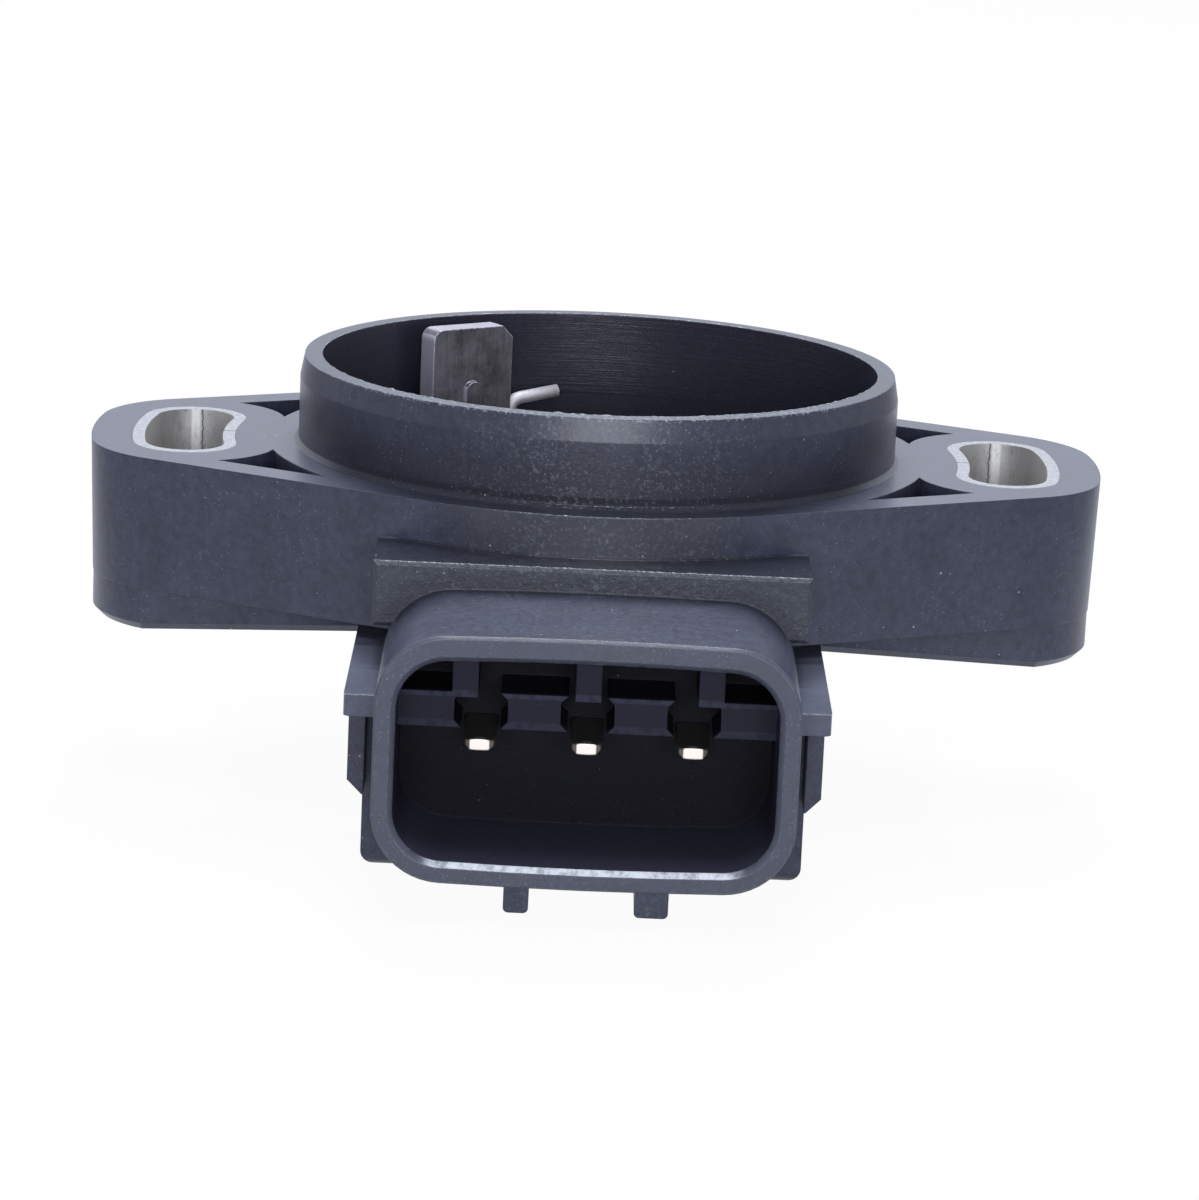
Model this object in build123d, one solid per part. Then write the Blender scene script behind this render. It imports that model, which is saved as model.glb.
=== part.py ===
"""Throttle position sensor: a moulded housing with a pilot collar, two steel slot bushes and a
three-pin socket, holding a sprung rotor whose bent steel lever follows the throttle shaft.

Frame: millimetres, origin on the rotor axis at the mounting face of the flange, +Z along the
pilot collar, -Y towards the mouth of the socket. Levels are heights, drops are depths below the
mounting face, and reaches are distances from the rotor axis towards the mouth of the socket.
"""
import os
from math import atan2, cos, degrees, hypot, radians, sin, sqrt, tan

from build123d import *

# Mounting flange
slot_spacing = 50.3             # between the middles of the two screw slots
slot_width = 4.7                # clear width of a slot inside its bush
slot_swing = 9.2                # degrees from a slot's middle to the centre of its round end
bush_wall = 0.75                # sheet of the rolled bush
bush_seam = 0.25                # gap where the rolled sheet meets itself
boss_wall = 2.4                 # plastic round a bush, beside the pockets
flange_margin = 5.57            # from a slot's middle to the end of the flange
flange_middle_radius = 20.45
flange_side_lean = 27.0         # degrees, how far its straight sides turn in towards the ends
flange_corner = 7.2             # between a side and an end
flange_thickness = 8.0
flange_draft = 1.7              # degrees, how far its wall leans in towards the underside
flange_wall = 2.2               # outer wall beside the pockets
pocket_depth = 6.0
pad_height = 2.6                # end pads below the flange, down to the lower ends of the bushes
pad_step = 0.05                 # how far the pads stand inside the flange's lower outline
pad_half_width = 5.4            # at the middle of the flange, widening outwards
pad_flare = 7.5                 # degrees
pad_bevel = 0.45                # along the lower edge

# Pilot collar
collar_radius = 18.2
collar_height = 5.25
collar_wall = 1.3
lead_in_height = 1.35
lead_in_depth = 0.25
collar_foot = 0.25              # bevel where the collar meets the mounting face
collar_land = 1.9               # ring of the mounting face round the collar, clear of the pockets

# Rotor cavity and rear chamber
cavity_depth = 5.2
web = 1.2                       # wall between the cavity and the chamber
chamber_radius = 12.2
cover_ledge = 1.0               # shoulder that carries the seal
cover_wall = 1.45               # housing round the cover
cover_thickness = 1.2
cover_clearance = 0.05
seal_thickness = 0.6

# Socket
ledge_drop = 2.5
ledge_height = 3.8
ledge_width = 24.95
ledge_reach = 23.0
ledge_chamfer = 0.2
socket_drop = 11.0              # middle of the socket
shroud_reach = 34.4
shroud_length = 12.4
shroud_width = 23.5
shroud_height = 13.75           # at the sides
shroud_bulge = 0.25             # rise of the top and fall of the bottom at the middle
shroud_corner = 4.0
shroud_wall = 1.2
shroud_roof = 1.4               # wall over the hollow
shroud_chamfer = 0.15           # round the outside of the mouth
mouth_chamfer = 0.3             # round the inside of the mouth
mouth_flare = 45.0              # degrees
socket_depth = 9.4
neck_width = 21.6
wing_drop = 8.8
wing_thickness = 1.25
wing_width = 27.3
wing_reach = 29.2
wing_back = 11.0
wing_round = 0.45
root_width = 25.3
root_drop = 20.4                # underside of the root block
root_reach = 23.5
root_length = 9.0
root_round = 1.0
fin_thickness = 0.95
fin_overlap = 0.15              # how far a fin is sunk in the side of the root block
fin_height = 6.0
fin_chamfer = 0.85
fin_reach = 26.0
foot_height = 1.55
foot_round = 0.3
foot_reach = 33.8
foot_length = 9.8
foot_places = ((-3.55, 1.4), (3.95, 1.9))   # middle and width of each locking foot
rail_drop = 8.3
rail_height = 2.05
rail_reach = 29.5
rail_notch = 3.0
key_width = 1.45
key_sink = 0.3                  # how far a key's foot is sunk in the rail
key_pitch = 6.87

# Terminals
terminal_names = ("supply", "signal", "ground")
pin_pitch = 5.95
pin_width = 1.8
pin_thickness = 0.64
pin_reach = 30.6
pin_taper = 0.35
terminal_bend = 0.9
riser_reach = 17.6              # upright part of a terminal, inside the housing
terminal_drop = 7.4             # level of the inner end
terminal_inset = 2.1            # length of the inner end inside the chamber
contact_sheet = 0.25
contact_width = 1.2
contact_length = 1.0
contact_bend = 0.3

# Rotor drum and stop
rotor_travel = 100.0            # degrees, clockwise seen from above
drum_radius = 13.8
drum_skirt = 1.3
drum_plate = 0.7
drum_clearance = 0.4            # skirt to cavity floor
hub_radius = 3.0
hub_height = 0.9
stake_count = 3
stake_circle = 6.3
stake_radius = 0.9
stake_head_radius = 1.5
stake_head = 0.5
stake_clearance = 0.05
stop_angle = -60.0              # degrees, where the fixed stop stands
stop_width = 12.0               # degrees
stop_gap = 1.5                  # degrees left between stop and skirt at each limit
stop_clearance = 0.3            # round the stop, under the drum

# Drive lever
lever_angle = 124.5             # degrees, where the tab stands at rest
lever_level = -0.9              # upper face of the flat part
lever_sheet = 1.5
lever_bend = 0.5                # inner radius
lever_disc_radius = 9.0
tab_face_radius = 14.1
tab_width = 5.9
tab_level = 4.95
tab_corner = 0.7
tab_chamfer = 0.75
dart_width = 1.2                # stiffening dart pressed into the foot of the tab
dart_height = 2.45
dart_depth = 0.35

# Pivot
shaft_radius = 2.0
shaft_end = 0.3                 # stands out below the clip
shaft_chamfer = 0.25
bearing_wall = 1.3
bearing_flange = 0.5
bearing_flange_wall = 2.3
bearing_clearance = 0.04
bearing_boss_wall = 1.6
washer_thickness = 0.4
end_float = 0.05

# Wiper and track
carrier_radius = 9.5
carrier_thickness = 0.8
carrier_clearance = 0.35
clip_wall = 1.3
clip_thickness = 0.35
clip_slots = 6
clip_slot_width = 0.5
wiper_angle = 100.0             # degrees, where the fingers touch the tracks at rest
wiper_sheet = 0.2
wiper_span = 80.0               # degrees
wiper_edge = 0.5                # carrier left bare outside and wiper left inside the fingers
finger_width = 0.9
finger_reach = 3.4
finger_lift = 0.25
finger_gap = 0.05
track_radii = (8.2, 5.9)
track_width = 1.3
track_print = 0.04
track_span = 150.0              # degrees
track_angle = 40.0              # degrees, middle of the tracks
board_clearance = 0.3           # to the chamber's wall
board_thickness = 0.6
board_hole_radius = 4.2

# Return spring
wire_radius = 0.41
coil_turns = 2.0
coil_pitch = 0.88
coil_floor_gap = 0.12
leg_depth = 1.2
leg_clearance = 0.06
spring_bend = 0.7               # radius of the bends at the ends of the coil
tail_bend = 0.8                 # radius of the bend at the top of the riser
tail_rise = 8.0                 # degrees
tail_level = 0.4                # of the cut end
tail_length = 3.3               # from the riser to the cut end, seen from above

# Places worked out from the sizes above
overall_drop = flange_thickness + pad_height
slot_radius = slot_spacing / 2
bush_width = slot_width + 2 * bush_wall
flange_length = slot_spacing + 2 * flange_margin
flange_lean = flange_thickness * tan(radians(flange_draft))
collar_bore = collar_radius - collar_wall
chamber_level = -cavity_depth - web
cover_radius = chamber_radius + cover_ledge
cover_level = cover_thickness - overall_drop
seal_level = cover_level + seal_thickness
socket_floor = shroud_reach - socket_depth
shroud_back = shroud_reach - shroud_length
shroud_underside = -socket_drop - shroud_height / 2 - shroud_bulge
root_back = root_reach - root_length
lever_underside = lever_level - lever_sheet
drum_underside = lever_underside - drum_plate
skirt_bottom = drum_clearance - cavity_depth
bearing_radius = shaft_radius + bearing_clearance + bearing_wall
bearing_level = drum_underside - washer_thickness - end_float
bearing_seat = bearing_level - bearing_flange
bearing_flange_radius = shaft_radius + bearing_flange_wall
carrier_level = chamber_level - carrier_clearance
carrier_underside = carrier_level - carrier_thickness
clip_underside = carrier_underside - clip_thickness
board_level = cover_level + board_thickness
print_level = board_level + track_print
tail_radius = tab_face_radius + lever_sheet / 2
tail_side = tab_width / 2 + wire_radius + leg_clearance
coil_radius = sqrt(tail_radius ** 2 + tail_side ** 2 - spring_bend ** 2)
coil_level = coil_floor_gap + wire_radius - cavity_depth
tail_angle = lever_angle - degrees(atan2(tail_side, tail_radius) - atan2(spring_bend, coil_radius))
leg_angle = tail_angle + 360 * coil_turns
clear_of_part = 60.0            # length that passes right through the part


def polar(radius, angle, level=0.0):
    """Point at a radius, an angle in degrees round the rotor axis and a level."""
    return Vector(radius * cos(radians(angle)), radius * sin(radians(angle)), level)


def span_box(x, y, z):
    """Box between the two ends given along each axis."""
    ends = (x, y, z)
    size = [abs(end - start) for start, end in ends]
    middle = [(end + start) / 2 for start, end in ends]
    return Pos(*middle) * Box(*size)


def ring(outer, inner, top, bottom):
    """Flat ring round the rotor axis."""
    return Pos(0, 0, bottom) * extrude(Circle(outer) - Circle(inner), top - bottom)


def disc(radius, top, bottom):
    """Flat disc on the rotor axis."""
    return Pos(0, 0, bottom) * extrude(Circle(radius), top - bottom)


def sector(outer, inner, angle, span, top, bottom):
    """Part of a flat ring, about a middle angle and a span of degrees wide."""
    start = angle - span / 2
    outer_arc = CenterArc((0, 0), outer, start, span)
    inner_arc = CenterArc((0, 0), inner, start, span)
    sides = [Line(inner_arc @ end, outer_arc @ end) for end in (0, 1)]
    return Pos(0, 0, bottom) * extrude(make_face([outer_arc, inner_arc, *sides]), top - bottom)


def flange_outline(inset=0.0):
    """Round middle, sides that lean in, round corners and ends about the rotor axis, moved in by an inset."""
    middle, corner, tip = [size - inset for size in (flange_middle_radius, flange_corner, flange_length / 2)]
    outwards, along = polar(1, 90 - flange_side_lean), polar(1, -flange_side_lean)
    centre = outwards * (middle - corner) + along * sqrt((tip - corner) ** 2 - (middle - corner) ** 2)
    ahead = centre.normalized()
    half_turn = (outwards + ahead).normalized()
    crown = ThreePointArc((0, middle), polar(middle, 90 - flange_side_lean / 2), outwards * middle)
    side = Line(outwards * middle, centre + outwards * corner)
    bend = ThreePointArc(centre + outwards * corner, centre + half_turn * corner, ahead * tip)
    end = ThreePointArc(ahead * tip, polar(tip, degrees(atan2(ahead.Y, ahead.X)) / 2), (tip, 0))
    quarter = [crown, side, bend, end]
    half = quarter + [edge.mirror(Plane.XZ) for edge in quarter]
    return make_face(half + [edge.mirror(Plane.YZ) for edge in half])


def slot_shape(side, width):
    """Slot of a given width along an arc about the rotor axis, with round ends."""
    middle = degrees(atan2(0, side))
    return SlotArc(CenterArc((0, 0), slot_radius, middle - slot_swing, 2 * slot_swing), width)


def shroud_shape(inset=0.0, roof_drop=0.0):
    """Upright section of the socket: flat sides, bulged top and bottom, rounded corners."""
    x = shroud_width / 2 - inset
    low, high = inset - shroud_height / 2, shroud_height / 2 - inset - roof_drop
    face = make_face([Line((-x, low), (-x, high)),
                      ThreePointArc((-x, high), (0, high + shroud_bulge), (x, high)),
                      Line((x, high), (x, low)),
                      ThreePointArc((x, low), (0, low - shroud_bulge), (-x, low))])
    return fillet(face.vertices(), shroud_corner - inset)


def socket_plane(reach):
    """Upright plane at a reach, facing the mouth of the socket, with its origin at the socket's middle."""
    return Plane(origin=(0, -reach, -socket_drop), x_dir=(1, 0, 0), z_dir=(0, -1, 0))


def forward(shape, start, end):
    """Extrudes an upright section, drawn about the middle of the socket, between two reaches."""
    return extrude(socket_plane(start) * shape, end - start)


def strip(path, width, thickness, across):
    """Flat strip that follows a path, with its width along a given direction."""
    start = Plane(origin=path @ 0, x_dir=across, z_dir=path % 0)
    return sweep(start * Rectangle(width, thickness), path=path)


def bent_path(x, bend, *points):
    """Path of (reach, level) points in an upright plane at a place along X."""
    plane = Plane(origin=(x, 0, 0), x_dir=(0, -1, 0), z_dir=(-1, 0, 0))
    return plane * FilletPolyline(*points, radius=bend)


def terminal_places():
    """Name, X place and inner reach of each terminal, a fixed length inside the chamber's wall."""
    for index, name in enumerate(terminal_names):
        x = (index - (len(terminal_names) - 1) / 2) * pin_pitch
        yield name, x, sqrt(chamber_radius ** 2 - x ** 2) - terminal_inset


def terminal(x, inner_reach):
    """Flat pin from the socket, through the housing and up to its inner end in the chamber."""
    path = bent_path(x, terminal_bend, (pin_reach, -socket_drop), (riser_reach, -socket_drop),
                     (riser_reach, -terminal_drop), (inner_reach, -terminal_drop))
    pin = strip(path, pin_width, pin_thickness, (1, 0, 0))
    tip = pin.faces().sort_by(Axis.Y)[0]
    return chamfer(tip.edges().filter_by(Axis.Z), 2 * pin_taper, pin_taper)


def board_contact(x, inner_reach):
    """Leaf bent like a C between a terminal's inner end and its pad on the track board."""
    top = -terminal_drop - (pin_thickness + contact_sheet) / 2
    foot = board_level + contact_sheet / 2
    near = inner_reach + contact_sheet
    far = near + contact_length
    path = bent_path(x, contact_bend, (far, top), (near, top), (near, foot), (far, foot))
    return strip(path, contact_width, contact_sheet, (1, 0, 0))


def flange():
    """Flange with its drafted wall, the end pads under it and the boss round the cover."""
    plate = extrude(flange_outline(), -flange_thickness, taper=flange_draft)
    boss = disc(cover_radius + cover_wall, -pocket_depth, -overall_drop)
    return plate + boss + end_pad() + Rot(0, 0, 180) * end_pad()


def end_pad():
    """Pad under the right end: the flange's lower outline between two flaring sides, bevelled below."""
    near, tip = chamber_radius, flange_length / 2
    near_half, tip_half = [pad_half_width + x * tan(radians(pad_flare)) for x in (near, tip)]
    corners = (near, -near_half), (tip, -tip_half), (tip, tip_half), (near, near_half)
    window = make_face(Polyline(*corners, close=True))
    shape = flange_outline(flange_lean + pad_step) & window
    pad = Pos(0, 0, -overall_drop) * extrude(shape, pad_height)
    lower = pad.edges().group_by(Axis.Z)[0].sort_by(Axis.X)
    return chamfer(lower[1:], pad_bevel)


def pockets():
    """Three-cornered hollows between the outer wall, the bush bosses and the collar's land."""
    boss_width = bush_width + 2 * boss_wall
    shape = flange_outline(flange_wall) - Circle(collar_radius + collar_land)
    for side in (-1, 1):
        shape -= slot_shape(side, boss_width)
    return extrude(shape, -pocket_depth)


def collar():
    """Pilot collar turned about the axis, with a tapered lead-in and a bevelled foot."""
    rim, foot = collar_radius - lead_in_depth, collar_radius + collar_foot
    section = Polyline((collar_bore, -collar_foot), (collar_bore, collar_height), (rim, collar_height),
                       (collar_radius, collar_height - lead_in_height), (collar_radius, collar_foot),
                       (foot, 0), (foot, -collar_foot), close=True)
    return revolve(Plane.XZ * make_face(section), Axis.Z)


def socket_body():
    """Socket with the ledge, neck, wings, root block, fins and feet that tie it to the flange."""
    half = ledge_width / 2
    ledge = span_box((-half, half), (-ledge_reach, -root_back), (-ledge_drop - ledge_height, -ledge_drop))
    ledge = chamfer(ledge.faces().sort_by(Axis.Y)[0].edges(), ledge_chamfer)
    half = neck_width / 2
    neck = span_box((-half, half), (ledge_chamfer - ledge_reach, -root_back),
                    (-wing_drop, -ledge_drop - ledge_height / 2))
    shroud = forward(shroud_shape(), shroud_back, shroud_reach)
    shroud = chamfer(shroud.faces().sort_by(Axis.Y)[0].edges(), shroud_chamfer)
    half = wing_width / 2
    wings = span_box((-half, half), (-wing_reach, -wing_back), (-wing_drop - wing_thickness, -wing_drop))
    wings = fillet(wings.edges().filter_by(Axis.Z).group_by(Axis.Y)[0], wing_round)
    half = root_width / 2
    root = span_box((-half, half), (-root_reach, -root_back), (-root_drop, -wing_drop - wing_thickness / 2))
    root = fillet(root.faces().sort_by(Axis.Z)[0].edges(), root_round)
    body = ledge + neck + shroud + wings + root
    for side in (-1, 1):
        inner = half - fin_overlap
        fin_top = -wing_drop - wing_thickness / 2
        fin = span_box((side * inner, side * (inner + fin_thickness)), (-fin_reach, -root_back),
                       (fin_top - fin_height, fin_top))
        outer = fin.edges().filter_by(Axis.Y).group_by(Axis.Z)[0].sort_by(Axis.X)[0 if side < 0 else -1]
        body += chamfer(outer, fin_chamfer)
    for place, width in foot_places:
        foot = span_box((place - width / 2, place + width / 2), (-foot_reach, foot_length - foot_reach),
                        (shroud_underside - foot_height, -socket_drop - shroud_height / 2 + shroud_wall / 2))
        body += fillet(foot.edges().filter_by(Axis.Y).group_by(Axis.Z)[0], foot_round)
    return body


def socket_hollow():
    """Inside of the socket, opening out at the mouth."""
    drop = shroud_roof - shroud_wall
    mouth = shroud_shape(shroud_wall - mouth_chamfer * tan(radians(mouth_flare)), drop)
    flare = extrude(socket_plane(shroud_reach) * mouth, -mouth_chamfer, taper=mouth_flare)
    return forward(shroud_shape(shroud_wall, drop), socket_floor, shroud_reach) + flare


def socket_rails():
    """Notched rail above the pins and the three keys that tie it to the roof of the socket."""
    half = shroud_width / 2 - shroud_wall / 2
    back = socket_floor - shroud_wall / 2
    rail = span_box((-half, half), (-rail_reach, -back), (-rail_drop - rail_height, -rail_drop))
    for _, x, _ in terminal_places():
        notch = RegularPolygon(rail_notch / 2, 8, major_radius=False, rotation=22.5)
        middle = socket_drop - rail_drop - rail_height / 2
        rail -= forward(Pos(x, middle) * notch, back, rail_reach)
    roof = shroud_height / 2 - socket_drop - shroud_roof / 2
    for step in (-1, 0, 1):
        middle = step * key_pitch
        rail += span_box((middle - key_width / 2, middle + key_width / 2), (-rail_reach, -back),
                         (-rail_drop - key_sink, roof))
    return rail


def stop():
    """Fixed stop that stands in the gap of the drum's skirt."""
    outer = drum_radius - stop_clearance
    inner = drum_radius - drum_skirt - stop_clearance
    top = drum_underside - stop_clearance
    return sector(outer, inner, stop_angle, stop_width, top, -cavity_depth - web / 2)


def spring_leg_hole():
    """Hole in the cavity's wall for the fixed leg of the spring."""
    tip, bend = fixed_leg()
    return bar(bend, tip + polar(leg_clearance, leg_angle), wire_radius + leg_clearance)


def bar(start, end, radius):
    """Straight round bar between two points."""
    run = end - start
    return extrude(Plane(origin=start, z_dir=run) * Circle(radius), run.length)


def housing():
    """One moulding: flange, collar, socket, cavity, chamber, bearing boss and stop."""
    body = flange() + collar() + socket_body()
    body -= disc(collar_bore, clear_of_part, -cavity_depth)
    body -= disc(chamber_radius, chamber_level, -clear_of_part)
    body -= disc(cover_radius, seal_level, -clear_of_part)
    body += disc(bearing_radius + bearing_boss_wall, bearing_seat, chamber_level)
    body -= disc(bearing_radius, clear_of_part, -clear_of_part)
    body += stop()
    body -= pockets()
    body -= socket_hollow()
    body += socket_rails()
    body -= spring_leg_hole()
    for side in (-1, 1):
        body -= extrude(slot_shape(side, bush_width), clear_of_part, both=True)
    for _, x, inner_reach in terminal_places():
        body -= terminal(x, inner_reach)
    return body


def slot_bush(side):
    """Steel strip rolled to the slot's shape, with its seam at the middle of the inner side."""
    tube = extrude(slot_shape(side, bush_width) - slot_shape(side, slot_width), -overall_drop)
    inner = slot_radius - bush_width / 2
    seam = span_box((side * (inner - bush_wall), side * (inner + 2 * bush_wall)),
                    (-bush_seam / 2, bush_seam / 2), (-clear_of_part, clear_of_part))
    return tube - seam


def stakes():
    """Places of the moulded posts that hold the lever."""
    return PolarLocations(stake_circle, stake_count, start_angle=lever_angle + 180 / stake_count)


def rotor_drum():
    """Moulded drum: plate, skirt with a gap for the stop, hub and staked posts."""
    drum = disc(drum_radius, lever_underside, drum_underside)
    skirt = ring(drum_radius, drum_radius - drum_skirt, drum_underside, skirt_bottom)
    gap = rotor_travel + stop_width + 2 * stop_gap
    middle = stop_angle + rotor_travel / 2
    skirt -= sector(drum_radius + drum_skirt, drum_radius - 2 * drum_skirt, middle, gap,
                    drum_underside, skirt_bottom)
    drum += skirt + disc(hub_radius, lever_underside + hub_height, drum_underside)
    for place in stakes():
        drum += place * disc(stake_radius, lever_level, drum_underside)
        head = place * disc(stake_head_radius, lever_level + stake_head, lever_level)
        drum += fillet(head.edges().group_by(Axis.Z)[-1], stake_head / 2)
    return drum - disc(shaft_radius, clear_of_part, -clear_of_part)


def lever_frame(angle=lever_angle):
    """Upright plane through the axis at an angle: x outwards, y up."""
    outwards = polar(1, angle)
    return Plane(origin=(0, 0, 0), x_dir=outwards, z_dir=outwards.cross(Vector(0, 0, 1)))


def drive_lever():
    """Flat steel disc with an arm whose end is bent up into the drive tab, stiffened by a dart."""
    frame = lever_frame()
    middle = lever_level - lever_sheet / 2
    path = frame * FilletPolyline((0, middle), (tail_radius, middle), (tail_radius, tab_level),
                                  radius=lever_bend + lever_sheet / 2)
    arm = strip(path, tab_width, lever_sheet, frame.z_dir)
    corners = arm.edges().group_by(Axis.Z)[-1].filter_by(lambda edge: edge.length < 2 * lever_sheet)
    left, right = corners.sort_by(Axis.X)[0], corners.sort_by(Axis.X)[-1]
    arm = chamfer(right, tab_chamfer)
    left = arm.edges().filter_by(lambda edge: edge.center().Z > tab_level - lever_bend
                                 and edge.length < 2 * lever_sheet).sort_by(Axis.X)[0]
    arm = fillet(left, tab_corner)
    lever = disc(lever_disc_radius, lever_level, lever_underside) + arm + dart(frame)
    lever -= disc(hub_radius + stake_clearance, clear_of_part, -clear_of_part)
    for place in stakes():
        lever -= place * disc(stake_radius + stake_clearance, clear_of_part, -clear_of_part)
    return lever


def dart(frame):
    """Low rib with a round top on the face of the tab, running down into the flat part."""
    middle = Plane(origin=polar(tail_radius, lever_angle, lever_level), x_dir=(0, 0, 1), z_dir=-frame.x_dir)
    rib = Pos((dart_height - dart_width / 2) / 2) * SlotOverall(dart_height + dart_width / 2, dart_width)
    return extrude(middle * rib, lever_sheet / 2 + dart_depth)


def spring_coil():
    """Middle line of the left-hand coil, from the fixed leg's side to below the side of the tab."""
    rise = coil_turns * coil_pitch
    coil = Helix(coil_pitch, rise, coil_radius, center=(0, 0, coil_level), lefthand=True)
    return Rot(0, 0, leg_angle) * coil


def fixed_leg():
    """Tip of the fixed leg in the cavity's wall, and its other end at the bend into the coil."""
    coil = spring_coil()
    out = polar(1, leg_angle)
    bend = coil @ 0 + (out - coil % 0) * spring_bend
    return bend + out * (collar_bore + leg_depth - coil_radius - spring_bend), bend


def return_spring():
    """Torsion spring bent from one wire: fixed leg, coil, riser beside the tab and free tail."""
    coil = spring_coil()
    tip, bend = fixed_leg()
    up, along = Vector(0, 0, 1), coil % 1
    corner = up + along
    lower = Edge.make_tangent_arc(coil @ 0, coil % 0 * -1, bend)
    upper = Edge.make_tangent_arc(coil @ 1, along, coil @ 1 + corner * spring_bend)
    foot = upper @ 1
    rise, run = sin(radians(tail_rise)), cos(radians(tail_rise))
    straight = (tail_length - tail_bend * (1 - rise)) / run
    head = Vector(foot.X, foot.Y, tail_level - tail_bend * run - straight * rise)
    over = Edge.make_tangent_arc(head, up, head + (along * (1 - rise) + up * run) * tail_bend)
    tail = Line(over @ 1, over @ 1 + (along * run + up * rise) * straight)
    path = Wire([Line(tip, bend), lower, coil, upper, Line(foot, head), over, tail])
    return sweep(Plane(origin=path @ 0, z_dir=path % 0) * Circle(wire_radius), path=path)


def pivot_shaft():
    """Plain steel pin, pressed in the drum and in the wiper carrier."""
    pin = disc(shaft_radius, lever_underside + hub_height, clip_underside - shaft_end)
    return chamfer(pin.edges().filter_by(GeomType.CIRCLE), shaft_chamfer)


def bearing_bush():
    """Flanged plain bearing in the boss of the housing."""
    bore = shaft_radius + bearing_clearance
    barrel = ring(bearing_radius, bore, bearing_seat, chamber_level)
    return barrel + ring(bearing_flange_radius, bore, bearing_level, bearing_seat)


def thrust_washer():
    """Washer between the drum and the bearing's flange."""
    return ring(bearing_flange_radius, shaft_radius + bearing_clearance, drum_underside,
                drum_underside - washer_thickness)


def wiper_carrier():
    """Moulded disc on the lower end of the shaft."""
    return ring(carrier_radius, shaft_radius, carrier_level, carrier_underside)


def shaft_clip():
    """Push-on ring with slotted teeth, which holds the carrier on the shaft."""
    clip = ring(shaft_radius + clip_wall, shaft_radius, carrier_underside, clip_underside)
    slot = span_box((0, shaft_radius + clip_wall / 2), (-clip_slot_width / 2, clip_slot_width / 2),
                    (clip_underside, carrier_underside))
    for place in PolarLocations(0, clip_slots):
        clip -= place * slot
    return clip


def wiper():
    """Sheet-metal wiper: a plate under the carrier and a bent finger down to each track."""
    outer = carrier_radius - wiper_edge / 2
    inner = hypot(min(track_radii), finger_reach) - finger_width / 2 - wiper_edge
    plate_angle = wiper_angle - degrees(atan2(finger_reach, max(track_radii))) - wiper_span / 2 + stop_width
    sheet = sector(outer, inner, plate_angle, wiper_span, carrier_underside, carrier_underside - wiper_sheet)
    high = carrier_underside - wiper_sheet / 2
    low = print_level + finger_gap + wiper_sheet
    for radius in track_radii:
        along = polar(1, wiper_angle + 90)
        across = along.cross(Vector(0, 0, 1))
        plane = Plane(origin=polar(radius, wiper_angle), x_dir=along, z_dir=across)
        path = plane * FilletPolyline((-finger_reach, high), (wiper_edge - finger_reach, high), (0, low),
                                      (wiper_edge, low + finger_lift), radius=wiper_sheet)
        sheet += strip(path, finger_width, wiper_sheet, across)
    return sheet


def track_board():
    """Ring of board with its two printed tracks."""
    board = ring(chamber_radius - board_clearance, board_hole_radius, board_level, cover_level)
    for radius in track_radii:
        board += sector(radius + track_width / 2, radius - track_width / 2, track_angle, track_span,
                        print_level, board_level)
    return board


def rear_cover():
    """Flat disc that closes the chamber."""
    return disc(cover_radius - cover_clearance, cover_level, -overall_drop)


def cover_seal():
    """Flat rubber ring between the cover and its shoulder."""
    return ring(cover_radius - cover_clearance, chamber_radius, seal_level, cover_level)


def nodes():
    """Every separate piece by name."""
    pieces = {"housing": housing(), "bush_left": slot_bush(-1), "bush_right": slot_bush(1),
              "rotor_drum": rotor_drum(), "drive_lever": drive_lever(), "return_spring": return_spring(),
              "pivot_shaft": pivot_shaft(), "bearing_bush": bearing_bush(), "thrust_washer": thrust_washer(),
              "wiper_carrier": wiper_carrier(), "shaft_clip": shaft_clip(), "wiper": wiper(),
              "track_board": track_board(), "rear_cover": rear_cover(), "cover_seal": cover_seal()}
    for name, x, inner_reach in terminal_places():
        pieces[f"terminal_{name}"] = terminal(x, inner_reach)
        pieces[f"board_contact_{name}"] = board_contact(x, inner_reach)
    return pieces


os.makedirs("parts", exist_ok=True)
for node, piece in nodes().items():
    export_step(piece, os.path.join("parts", f"{node}.step"))
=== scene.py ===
"""Looks of a throttle position sensor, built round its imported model.

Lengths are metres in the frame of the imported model: origin on the rotor's axis at the mounting
face, +Z up the pilot collar and -Y out of the mouth of the socket.
"""
from collections import namedtuple

import bpy
import numpy as np
from bpy.props import FloatProperty, FloatVectorProperty, PointerProperty
from mathutils import Matrix, Vector


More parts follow.
